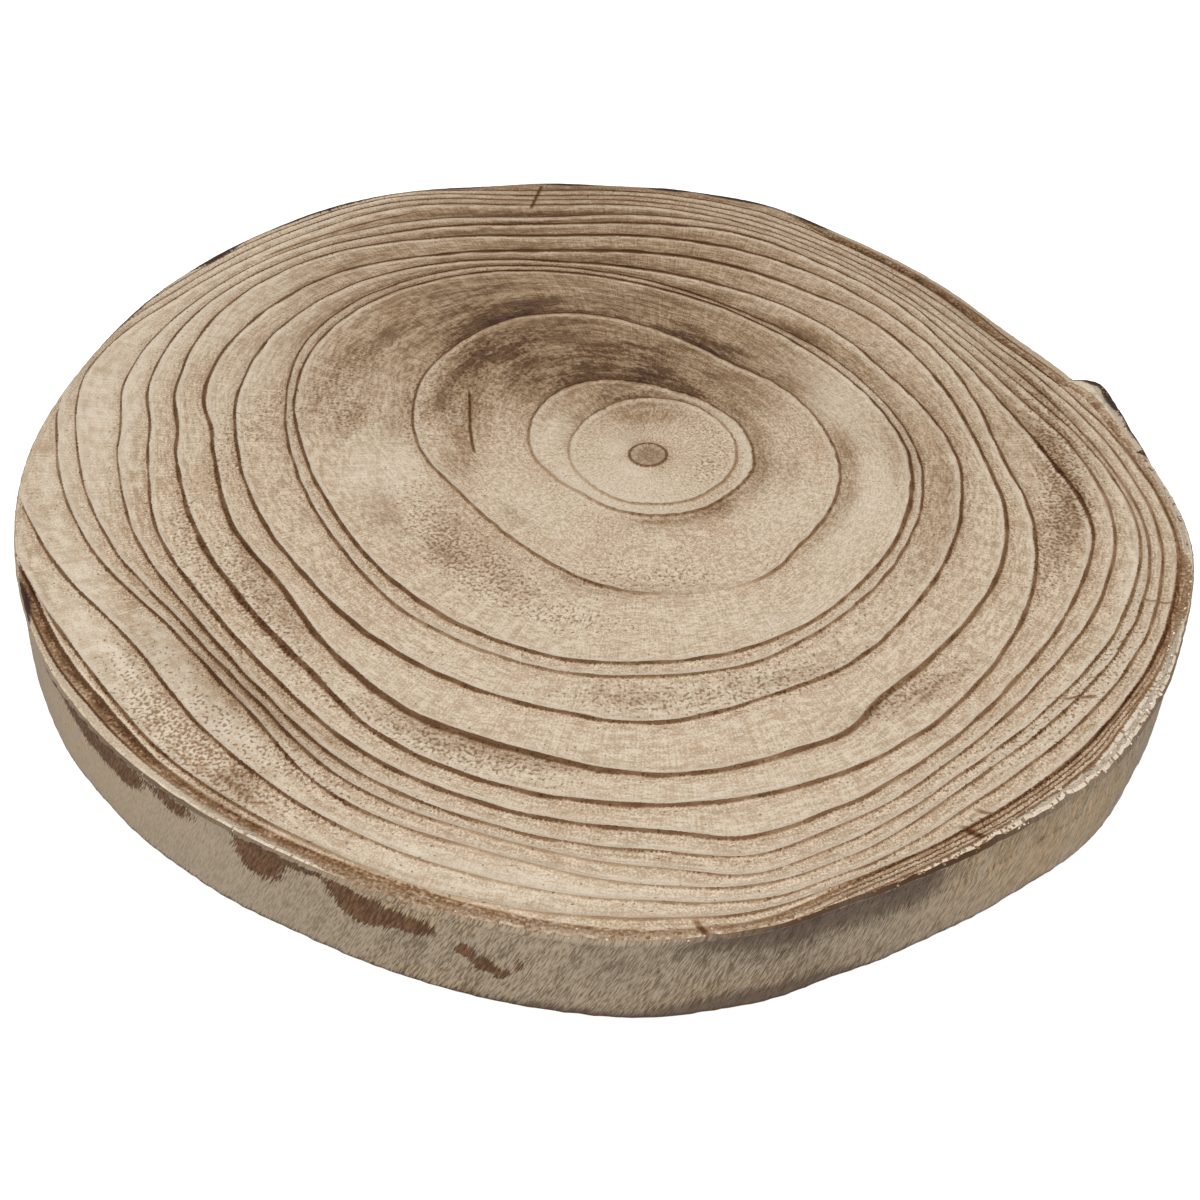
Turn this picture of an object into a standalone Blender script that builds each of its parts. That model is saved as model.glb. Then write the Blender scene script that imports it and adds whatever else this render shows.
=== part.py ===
"""A wood slice: a disc sawn across a fast-grown trunk, with the bark stripped off its wall.

The cut face has been brushed, so the hard late wood of each year stands proud of the soft early wood as a
low ridge, steep on its outer side. The years are eccentric: the trunk grew widest to the left of the pith.
Metres, +Z up. The origin is under the middle of the slice, on the surface that it lies on.
"""

from math import atan2, cos, pi, radians, sin

import bmesh
import bpy

MM = 0.001

# Driving dimensions
THICKNESS = 25 * MM  # from the base to the flat early wood
PITH = (15.3 * MM, 4.9 * MM)  # centre of growth, beside the middle of the slice
PITH_RADIUS = 5 * MM
RIDGE_HEIGHT = 0.45 * MM  # late wood above early wood
RIDGE_INNER = 1.1 * MM  # width of the ridge's slow inner slope
RIDGE_OUTER = 0.5 * MM  # width of its steep outer slope
RIM_BEVEL = (0.9 * MM, 0.7 * MM)  # inwards, downwards
BASE_BEVEL = (0.8 * MM, 1.0 * MM)  # inwards, upwards
UNDERCUT = 0.9 * MM  # how far the stripped wall lies behind the lip that is left at the rim
UNDERCUT_DROP = 3.5 * MM  # from the early wood's level down to the deepest undercut
LEAN = 1.6 * MM  # how far the base outline is shifted by the trunk's lean
LEAN_DIRECTION = radians(205)
LEAST_STEP = 0.35 * MM  # least distance between two loops that are squeezed at the rim

# Resolution
DIRECTIONS = 24  # equal directions round the pith, from +X towards +Y, in which outlines are given
SECTORS = 96  # vertices in each loop

# Radius of each year's late-wood line round the pith, in mm, one half turn to a line. Where the saw cut
# through the outermost years, their lines pass outside the rim, and the rim holds them back.
YEARS = (
    (23.5, 24, 24.5, 25, 26, 26, 26, 25.5, 24, 23, 22, 21.5,
     21, 20.5, 20, 20, 20.5, 21, 21, 21.5, 22, 22, 22.5, 23),
    (28, 28, 28.5, 28.5, 29.5, 30.5, 33, 36, 38, 37.5, 35.5, 33,
     30.5, 27.5, 25.5, 24, 24.5, 25, 25.5, 26, 26.5, 26.5, 27, 28),
    (50, 49, 49, 49, 49.5, 54.5, 62.5, 71.5, 76.5, 75.5, 72, 66,
     59.5, 52.5, 49.5, 49, 50.5, 53.5, 55.5, 57, 56, 52.5, 51.5, 51),
    (69, 67.5, 67, 68, 71.5, 77.5, 85.5, 96, 105.5, 110.5, 108.5, 100.5,
     91, 84.5, 81.5, 80.5, 80.5, 80.5, 79, 77.5, 75, 72, 70.5, 69.5),
    (71.5, 70, 69.5, 71, 73.5, 79.5, 88.5, 99, 109, 114, 112, 103,
     94.5, 88.5, 85.5, 85.5, 85, 85, 83.5, 82.5, 78.5, 75.5, 73.5, 72.5),
    (81.5, 79, 78, 81, 84.5, 88.5, 94.5, 102.5, 114, 122, 122.5, 117,
     108.5, 102, 97.5, 96.5, 96.5, 97, 98, 93.5, 91, 86.5, 84, 82.5),
    (88.5, 88, 90, 93.5, 95.5, 100.5, 104.5, 109, 119.5, 130.5, 132, 127,
     115, 109.5, 104, 106, 109.5, 110.5, 113.5, 110.5, 103, 99, 97, 93.5),
    (93.5, 94, 97, 100.5, 105.5, 110.5, 114.5, 118.5, 130.5, 142.5, 143.5, 135.5,
     125, 118.5, 114, 113.5, 119, 121.5, 122, 120.5, 116.5, 111, 106, 100),
    (105.5, 100.5, 101.5, 106.5, 112, 120, 122.5, 126, 137.5, 147, 149.5, 143.5,
     132.5, 127.5, 121.5, 121, 125, 127.5, 129, 129, 122.5, 117.5, 116, 115),
    (114, 106, 105, 109.5, 115.5, 123.5, 127.5, 130.5, 143, 151.5, 153.5, 150.5,
     140.5, 133, 126, 125.5, 130, 132.5, 134.5, 133.5, 126.5, 122, 121.5, 120.5),
    (119.5, 110, 108, 111.5, 118, 126.5, 133.5, 138.5, 151.5, 157, 159.5, 162.5,
     151, 139.5, 129.5, 128, 133.5, 135.5, 139, 138, 130.5, 128, 128, 126.5),
    (122.5, 112.5, 110.5, 114, 120.5, 129.5, 136.5, 142, 154.5, 160, 162.5, 167,
     156.5, 144.5, 132.5, 131, 138, 139.5, 143.5, 141.5, 133.5, 131, 130.5, 130),
    (126.5, 116.5, 113.5, 117, 123, 132.5, 139.5, 145, 157.5, 163, 165.5, 171,
     168, 154.5, 142, 141.5, 144, 146, 147.5, 145, 138, 135.5, 134.5, 133),
    (129.5, 121, 117, 121, 127, 136, 142.5, 148.5, 160.5, 165, 168, 175,
     173, 162, 153.5, 152, 151, 152, 151.5, 148, 142, 139.5, 138.5, 136),
)
RIM = (132, 126, 122, 125.5, 131.5, 141.5, 146.5, 152.5, 163.5, 167, 167, 165,
       164.5, 162.5, 161, 158.5, 156, 156.5, 157, 151.5, 148.5, 148, 142.5, 139.5)

# Waves that a few years share between two given directions:
# first year, last year, direction and half width in degrees, outwards in mm
KINKS = (
    (6, 6, 292.5, 8, 2.2),
    (8, 10, 277.5, 9, 2.5),
    (11, 13, 277.5, 9, 1.4),
    (6, 9, 174, 6, -1.2),
)

# The one flap of bark that the stripping left on the wall: its two ends in degrees, and its thickness
BARK_FROM = -2
BARK_TO = 15.5
BARK_THICKNESS = 4 * MM

WOOD_COLOUR = (0.56, 0.45, 0.33, 1)
WOOD_ROUGHNESS = 0.8


def between(radii, angle):
    """The radius of a closed outline at an angle, on a smooth curve through its given radii."""
    place = angle / (2 * pi) * DIRECTIONS
    first = int(place // 1)
    share = place - first
    before, start, end, after = (radii[(first + k) % DIRECTIONS] for k in (-1, 0, 1, 2))
    slope_start = (end - before) / 2
    slope_end = (after - start) / 2
    square, cube = share**2, share**3
    return (
        (2 * cube - 3 * square + 1) * start
        + (cube - 2 * square + share) * slope_start
        + (3 * square - 2 * cube) * end
        + (cube - square) * slope_end
    )


def hump(angle, middle, half_width):
    """A smooth swelling from 0 to 1 and back round the direction middle, both in degrees."""
    away = abs((angle - middle + 180) % 360 - 180)
    return cos(away / half_width * pi / 2) ** 2 if away < half_width else 0


def year_line(year, angle):
    """The radius of a year's late-wood line, in metres."""
    degrees = angle * 180 / pi
    radius = between(YEARS[year], angle)
    for first, last, middle, half_width, outwards in KINKS:
        if first <= year <= last:
            radius += outwards * hump(degrees, middle, half_width)
    return radius * MM


def rim_line(angle):
    """The radius of the slice's outline at the cut face, with the flap of bark on it, in metres."""
    degrees = angle * 180 / pi
    from_start = (degrees - BARK_FROM) % 360
    length = BARK_TO - BARK_FROM
    bark = BARK_THICKNESS * from_start / length if from_start < length else 0
    return between(RIM, angle) * MM + bark


def face_stations():
    """The loops of the cut face from the pith outwards: a radius and a height, both functions of angle."""
    stations = [
        (lambda a: PITH_RADIUS - RIDGE_INNER, lambda a: 0),
        (lambda a: PITH_RADIUS, lambda a: RIDGE_HEIGHT),
        (lambda a: PITH_RADIUS + RIDGE_OUTER, lambda a: 0),
    ]
    loops = 3 * len(YEARS)

    def held_back(year, offset, place):
        def radius(angle):
            room = RIM_BEVEL[0] + LEAST_STEP * (loops - place)
            return min(year_line(year, angle) + offset, rim_line(angle) - room)
        return radius

    for year in range(len(YEARS)):
        inner = held_back(year, -RIDGE_INNER, 3 * year)
        crest = held_back(year, 0, 3 * year + 1)
        outer = held_back(year, RIDGE_OUTER, 3 * year + 2)

        def height(angle, inner=inner, crest=crest):
            return RIDGE_HEIGHT * min(1, (crest(angle) - inner(angle)) / RIDGE_INNER)

        stations += [(inner, lambda a: 0), (crest, height), (outer, lambda a: 0)]
    return [(radius, lambda a, h=height: THICKNESS + h(a)) for radius, height in stations]


def wall_stations():
    """The loops over the rim, down the stripped wall and in under it to the base."""
    def leaning(share, inwards):
        def radius(angle):
            return rim_line(angle) + share * LEAN * cos(angle - LEAN_DIRECTION) - inwards
        return radius

    def level(height):
        return lambda a: height

    undercut_height = THICKNESS - UNDERCUT_DROP
    return [
        (leaning(0, RIM_BEVEL[0]), level(THICKNESS)),
        (leaning(0, 0), level(THICKNESS - RIM_BEVEL[1])),
        (leaning(0.1, UNDERCUT), level(undercut_height)),
        (leaning(0.5, UNDERCUT / 3), level(undercut_height / 2)),
        (leaning(1, 0), level(BASE_BEVEL[1])),
        (leaning(1, BASE_BEVEL[0]), level(0)),
    ]


def place_loop(vertices, radius, height):
    """Moves a loop of vertices, each of which keeps its own direction from the pith."""
    for vertex in vertices:
        sector = round(atan2(vertex.co.y - PITH[1], vertex.co.x - PITH[0]) / (2 * pi) * SECTORS) % SECTORS
        angle = 2 * pi * sector / SECTORS
        vertex.co.x = PITH[0] + radius(angle) * cos(angle)
        vertex.co.y = PITH[1] + radius(angle) * sin(angle)
        vertex.co.z = height(angle)


def grow_slice():
    """Starts from the pith's small disc and extrudes its edge from loop to loop, until the base closes it."""
    mesh = bmesh.new()
    bmesh.ops.create_circle(mesh, cap_ends=True, segments=SECTORS, radius=PITH_RADIUS)
    bmesh.ops.translate(mesh, verts=mesh.verts, vec=(*PITH, THICKNESS))
    stations = face_stations() + wall_stations()
    place_loop(mesh.verts, *stations[0])
    edge = list(mesh.edges)
    for radius, height in stations[1:]:
        made = bmesh.ops.extrude_edge_only(mesh, edges=edge)["geom"]
        edge = [item for item in made if isinstance(item, bmesh.types.BMEdge)]
        place_loop([item for item in made if isinstance(item, bmesh.types.BMVert)], radius, height)
    bmesh.ops.contextual_create(mesh, geom=edge)
    bmesh.ops.recalc_face_normals(mesh, faces=mesh.faces)
    return mesh


def wood_material():
    material = bpy.data.materials.new("brushed_wood")
    material.use_nodes = True
    shader = material.node_tree.nodes["Principled BSDF"]
    shader.inputs["Base Color"].default_value = WOOD_COLOUR
    shader.inputs["Roughness"].default_value = WOOD_ROUGHNESS
    shader.inputs["Metallic"].default_value = 0
    return material


def make_wood_slice(collection):
    solid = grow_slice()
    data = bpy.data.meshes.new("wood_slice")
    solid.to_mesh(data)
    solid.free()
    data.shade_smooth()
    data.set_sharp_from_angle(angle=radians(35))
    data.materials.append(wood_material())
    collection.objects.link(bpy.data.objects.new("wood_slice", data))


def main():
    for item in list(bpy.data.objects):
        bpy.data.objects.remove(item)
    collection = bpy.data.collections.new("wood slice")
    bpy.context.scene.collection.children.link(collection)
    make_wood_slice(collection)


main()
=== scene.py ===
"""The looks of a wood slice: a disc sawn across a fast-grown trunk, brushed and lightly scorched on its cut face.

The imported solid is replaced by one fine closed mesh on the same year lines, whose loops follow the growth, so
that the late wood, the scorch and the grain all run with the years. Loose fibres and crumbs of wood are
separate pieces. Angles run round the pith from +X towards +Y. Metres, +Z up.
"""

from math import cos, pi, radians, sin

import bmesh
import bpy
import numpy as np
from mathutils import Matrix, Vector


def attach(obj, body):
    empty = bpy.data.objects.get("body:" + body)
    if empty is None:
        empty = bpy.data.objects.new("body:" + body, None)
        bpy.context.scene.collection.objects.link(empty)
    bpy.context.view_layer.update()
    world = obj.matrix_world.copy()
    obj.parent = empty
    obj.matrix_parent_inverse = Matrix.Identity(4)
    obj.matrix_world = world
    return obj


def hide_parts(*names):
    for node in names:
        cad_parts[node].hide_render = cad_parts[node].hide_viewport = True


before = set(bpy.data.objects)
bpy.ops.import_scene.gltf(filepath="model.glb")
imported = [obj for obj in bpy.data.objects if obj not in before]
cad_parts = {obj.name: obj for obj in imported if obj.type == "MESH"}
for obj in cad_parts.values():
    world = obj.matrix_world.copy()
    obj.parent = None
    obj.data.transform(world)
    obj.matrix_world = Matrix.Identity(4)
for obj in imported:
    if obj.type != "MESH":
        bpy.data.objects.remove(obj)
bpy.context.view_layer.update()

MM = 0.001

# The slice's driving dimensions, as in its source
THICKNESS = 25 * MM
PITH = np.array((15.3, 4.9)) * MM
PITH_RADIUS = 5 * MM
RIDGE_HEIGHT = 0.45 * MM
RIDGE_INNER = 1.1 * MM
RIDGE_OUTER = 0.5 * MM
RIM_BEVEL = (0.9 * MM, 0.7 * MM)
UNDERCUT = 0.9 * MM
LEAN = 1.6 * MM
LEAN_DIRECTION = radians(205)
DIRECTIONS = 24
BARK_FROM = -2
BARK_TO = 15.5
BARK_THICKNESS = 4 * MM

# Radius of each year's late-wood line round the pith, in mm, one half turn to a line
YEARS = (
    (23.5, 24, 24.5, 25, 26, 26, 26, 25.5, 24, 23, 22, 21.5,
     21, 20.5, 20, 20, 20.5, 21, 21, 21.5, 22, 22, 22.5, 23),
    (28, 28, 28.5, 28.5, 29.5, 30.5, 33, 36, 38, 37.5, 35.5, 33,
     30.5, 27.5, 25.5, 24, 24.5, 25, 25.5, 26, 26.5, 26.5, 27, 28),
    (50, 49, 49, 49, 49.5, 54.5, 62.5, 71.5, 76.5, 75.5, 72, 66,
     59.5, 52.5, 49.5, 49, 50.5, 53.5, 55.5, 57, 56, 52.5, 51.5, 51),
    (69, 67.5, 67, 68, 71.5, 77.5, 85.5, 96, 105.5, 110.5, 108.5, 100.5,
     91, 84.5, 81.5, 80.5, 80.5, 80.5, 79, 77.5, 75, 72, 70.5, 69.5),
    (71.5, 70, 69.5, 71, 73.5, 79.5, 88.5, 99, 109, 114, 112, 103,
     94.5, 88.5, 85.5, 85.5, 85, 85, 83.5, 82.5, 78.5, 75.5, 73.5, 72.5),
    (81.5, 79, 78, 81, 84.5, 88.5, 94.5, 102.5, 114, 122, 122.5, 117,
     108.5, 102, 97.5, 96.5, 96.5, 97, 98, 93.5, 91, 86.5, 84, 82.5),
    (88.5, 88, 90, 93.5, 95.5, 100.5, 104.5, 109, 119.5, 130.5, 132, 127,
     115, 109.5, 104, 106, 109.5, 110.5, 113.5, 110.5, 103, 99, 97, 93.5),
    (93.5, 94, 97, 100.5, 105.5, 110.5, 114.5, 118.5, 130.5, 142.5, 143.5, 135.5,
     125, 118.5, 114, 113.5, 119, 121.5, 122, 120.5, 116.5, 111, 106, 100),
    (105.5, 100.5, 101.5, 106.5, 112, 120, 122.5, 126, 137.5, 147, 149.5, 143.5,
     132.5, 127.5, 121.5, 121, 125, 127.5, 129, 129, 122.5, 117.5, 116, 115),
    (114, 106, 105, 109.5, 115.5, 123.5, 127.5, 130.5, 143, 151.5, 153.5, 150.5,
     140.5, 133, 126, 125.5, 130, 132.5, 134.5, 133.5, 126.5, 122, 121.5, 120.5),
    (118.5, 110, 108, 111.5, 118, 126.5, 133.5, 138.5, 153, 157, 159.5, 162.5,
     151, 139.5, 129.5, 128, 133.5, 135.5, 139, 138, 130.5, 128, 128, 126.5),
    (120, 113, 110.5, 114.5, 120.5, 129.5, 136.5, 142, 157, 161, 162.5, 167,
     156.5, 144.5, 132.5, 131, 138, 139.5, 143.5, 141.5, 133.5, 131, 131, 128.5),
    (124, 117, 114, 117.5, 123.5, 132.5, 139.5, 145, 160.5, 164, 165.5, 171,
     168, 154.5, 142, 141.5, 144, 146, 147.5, 145, 138, 135.5, 134.5, 131.5),
    (127.5, 120, 116, 120, 126, 136, 142.5, 148.5, 162.5, 166, 168, 175,
     173, 162, 153.5, 152, 151, 152, 151.5, 147, 142.5, 140, 138, 135.5),
)
RIM = (132, 126, 122, 125.5, 131.5, 141.5, 146.5, 152.5, 163.5, 167, 167, 165,
       164.5, 162.5, 161, 158.5, 156, 156.5, 157, 151.5, 148.5, 148, 142.5, 139.5)

# The flap of bark: direction and how far it stands out of the rim, in mm
FLAP = ((-2, 0), (0, 0.5), (5, 1.7), (10, 3.9), (13, 5.5), (14.6, 5.9), (15.6, 4.8), (16.3, 0), (180, 0))

# Where the rim stands out or in a little: direction, half width in degrees, outwards in mm
RIM_SWELLINGS = ((100, 90, 0.7), (102, 9, 1.4), (72, 9, 0.5), (86, 5, 0.6), (127, 9, 0.6), (279, 6, 0.8), (318, 9, -0.9))

# Waves that a few years share: first year, last year, direction and half width in degrees, outwards in mm
KINKS = (
    (6, 6, 292.5, 8, 2.2),
    (8, 10, 277.5, 9, 2.5),
    (11, 13, 277.5, 9, 1.4),
    (6, 9, 174, 6, -1.2),
)

# The fine mesh. The core has few sectors, and its outer edge is divided in two twice on the way out.
CORE_SECTORS = 160
PITH_LOOPS = (0.5, 0.72, 0.86, 1.0, 1.1)  # share of the pith's radius
EARLY_LOOPS = (8, 4, 10, 12, 1, 5, 4, 5, 5, 4, 3, 3, 4, 4, 3)  # before each year's line, and before the rim
SPLITS = (0, 2)  # the intervals after which the sectors double
LEAST_STEP = 0.07 * MM  # least distance between loops that are squeezed at the rim

# Down the wall: drop below the cut face and how far the surface lies inside the rim, in mm
WALL_PROFILE = ((0, 0.9), (0.18, 0.4), (0.45, 0.1), (0.8, 0), (1.3, 0.05), (1.9, 0.35), (2.6, 0.7), (3.5, 0.9),
                (4.7, 0.82), (6, 0.72), (7.5, 0.6), (9, 0.5), (10.8, 0.36), (12.6, 0.3), (14.4, 0.24),
                (16.2, 0.18), (18, 0.12), (19.8, 0.08), (21.6, 0.04), (23, 0), (24, 0.05), (24.6, 0.3), (25, 0.8))

# Late-wood lines: how dark, and how far the dark wood reaches inwards and outwards of the line, in mm
PITH_LINE = (0.95, 0.5, 0.4)
LINES = (
    (0.62, 0.42, 0.42), (0.72, 0.45, 0.5), (0.75, 0.45, 0.5), (1.0, 0.45, 0.55), (0.95, 0.4, 0.45),
    (1.0, 0.45, 0.6), (1.0, 0.55, 0.8), (1.0, 0.5, 0.65), (1.0, 0.45, 0.55), (0.95, 0.35, 0.45),
    (0.95, 0.35, 0.4), (0.95, 0.35, 0.4), (0.95, 0.35, 0.4), (1.0, 0.4, 0.45),
)

# Where a line changes: first line, last line, direction, half width in degrees, added ink, added share of reach
LINE_CHANGES = (
    (3, 8, 95, 50, 0.15, 0.8),
    (9, 12, 95, 40, -0.15, 0.3),
    (2, 2, 281, 26, -0.85, 0),
    (3, 3, 232, 10, -0.35, 0.5),
    (3, 3, 340, 30, 0, 0.4),
    (4, 4, 235, 40, -0.35, 0),
    (5, 5, 230, 20, 0, 0.4),
    (6, 6, 245, 26, 0, 0.5),
    (6, 6, 298, 16, 0, 0.5),
    (7, 7, 215, 28, 0, 0.45),
    (8, 8, 355, 18, 0.1, 0.7),
    (9, 13, 280, 44, -0.25, -0.3),
    (3, 8, 300, 60, -0.2, 0),
    (3, 12, 215, 36, 0.15, 0.15),
    (8, 10, 185, 25, -0.1, -0.2),
    (10, 13, 257, 22, -0.4, -0.1),
    (13, 13, 246, 24, -0.35, -0.2),
    (9, 13, 352, 34, -0.25, 0.5),
    (13, 13, 340, 14, -0.35, 0),
    (11, 12, 128, 14, 0.2, 0.2),
    (0, 1, 200, 70, -0.3, 0),
    (0, 0, 20, 60, -0.1, 0),
    (11, 13, 175, 30, -0.2, 0),
)

# Clouds: direction in degrees, radius in mm, half width in degrees, half width in mm, strength
SCORCH = (
    (98, 105, 52, 40, 0.3), (105, 138, 30, 18, 0.36), (12, 75, 14, 30, 0.1), (45, 38, 16, 6, 0.35), (105, 55, 48, 32, 0.36), (120, 90, 36, 26, 0.36), (60, 50, 34, 24, 0.24),
    (90, 37, 18, 6, 0.9), (70, 33, 16, 5, 0.62), (112, 42, 18, 6, 0.62), (50, 32, 24, 4, 0.4),
    (15, 31, 34, 3.5, 0.26), (345, 31, 24, 3, 0.26), (305, 29, 24, 2.4, 0.34), (272, 28, 14, 2, 0.3),
    (60, 44, 22, 8, 0.36), (100, 50, 24, 10, 0.58), (128, 50, 22, 12, 0.55), (133, 67, 14, 9, 0.74),
    (112, 65, 20, 9, 0.5), (150, 60, 13, 7, 0.56), (160, 50, 20, 6, 0.32), (182, 50, 9, 5, 0.28),
    (68, 54, 14, 5, 0.72), (80, 62, 10, 6, 0.62), (45, 52, 14, 5, 0.4), (92, 74, 26, 10, 0.46),
    (118, 80, 12, 5, 0.8), (124, 86, 18, 10, 0.5), (145, 80, 14, 8, 0.26), (162, 70, 14, 5, 0.22),
    (168, 83, 6, 4, 0.3), (140, 96, 18, 8, 0.4), (118, 98, 16, 10, 0.42), (158, 94, 14, 6, 0.24),
    (82, 82, 14, 3.5, 0.5), (50, 74, 30, 5, 0.34), (98, 124, 26, 20, 0.3), (105, 132, 16, 9, 0.38), (55, 70, 14, 9, 0.34), (55, 55, 14, 14, 0.36), (85, 26.5, 40, 2.2, 0.36), (100, 45, 30, 14, 0.5), (125, 112, 16, 10, 0.34),
    (134, 131, 10, 4, 0.34), (112, 146, 20, 10, 0.3), (92, 98, 26, 10, 0.36), (22, 80, 24, 7, 0.16), (125, 60, 8, 6, 0.62), (135, 80, 8, 6, 0.5),
    (12, 108, 22, 10, 0.24), (14, 113.5, 11, 2.2, 0.45), (96, 24, 30, 3, 0.3), (45, 118, 26, 7, 0.24), (90, 19, 30, 5, 0.32), (75, 59, 8, 5, 0.6), (65, 40, 8, 5, 0.45), (115, 31, 8, 5, 0.5), (60, 20, 20, 5, 0.12),
    (95, 28, 20, 3, 0.5), (125, 26, 22, 3, 0.3), (120, 10, 26, 4, 0.16),
    (218, 58, 20, 5, 0.14), (218, 65, 7, 3, 0.26), (236, 62, 9, 4, 0.14), (200, 72, 10, 4, 0.2),
    (215, 43, 10, 2, 0.2), (250, 55, 10, 3, 0.18), (272, 54, 14, 3, 0.16),
    (345, 54, 26, 2.5, 0.2), (350, 38, 14, 2.5, 0.18), (2, 53, 12, 3, 0.24), (4, 68, 16, 5, 0.24),
    (335, 80, 14, 4, 0.2), (290, 89, 14, 2.5, 0.16), (268, 91, 8, 3, 0.16), (352, 78, 16, 4, 0.24),
    (210, 108, 12, 2.5, 0.22), (248, 113, 12, 2.5, 0.25), (303, 107, 9, 2.5, 0.24),
    (352, 109, 14, 5, 0.36), (224, 128, 16, 5, 0.22), (217, 137, 12, 5, 0.16),
    (232, 147, 2.5, 5, 0.26), (145, 116, 12, 4, 0.24), (120, 154, 12, 6, 0.2),
)
STIPPLE = (
    (210, 111, 14, 5, 0.8), (248, 115, 14, 4, 0.8), (304, 106, 10, 4, 0.7), (200, 121, 16, 5, 0.6),
    (351, 108, 20, 6, 1.0), (228, 137, 15, 4, 0.7), (225, 147, 14, 5, 1.0), (222, 62, 28, 9, 0.8),
    (157, 60, 18, 14, 0.6), (135, 66, 20, 12, 0.5), (310, 81, 30, 5, 0.3), (315, 131, 18, 5, 0.5),
    (345, 17, 26, 4, 0.7), (270, 91, 14, 5, 0.7), (285, 89, 16, 5, 0.7), (268, 49, 22, 6, 0.6),
    (167, 83, 7, 6, 0.7), (172, 106, 10, 5, 0.5), (178, 112, 12, 6, 0.45), (158, 93, 14, 8, 0.6),
    (18, 20, 25, 4, 0.4), (250, 67, 16, 5, 0.6), (230, 115, 16, 5, 0.5), (5, 112, 14, 6, 0.6),
)
PALE = (
    (275, 68, 26, 8, 0.2), (225, 137.5, 10, 3.2, 1.0), (213, 134.5, 8, 3, 0.9), (262, 145, 26, 5, 0.6), (172, 150, 24, 12, 0.6),
    (315, 131, 18, 4, 0.6), (205, 148, 14, 7, 0.6), (30, 58, 24, 8, 0.5), (340, 62, 30, 7, 0.5),
    (300, 71, 18, 4, 0.4), (160, 118, 20, 8, 0.4), (215, 38, 30, 8, 0.35), (185, 70, 14, 12, 0.5), (160, 28, 24, 4, 0.5),
    (250, 14, 60, 7, 0.45), (240, 22, 60, 5, 0.7), (235, 6, 44, 4, 0.9), (150, 8, 40, 5, 0.6), (265, 100, 50, 60, 0.25), (325, 42, 30, 8, 0.3), (278, 118, 20, 5, 0.3), (150, 137, 12, 7, 0.4),
    (230, 102, 20, 5, 0.3), (70, 28, 14, 1.2, 0.7), (15, 26, 40, 1.6, 0.6), (337, 127, 6, 3, 0.5),
)

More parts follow.
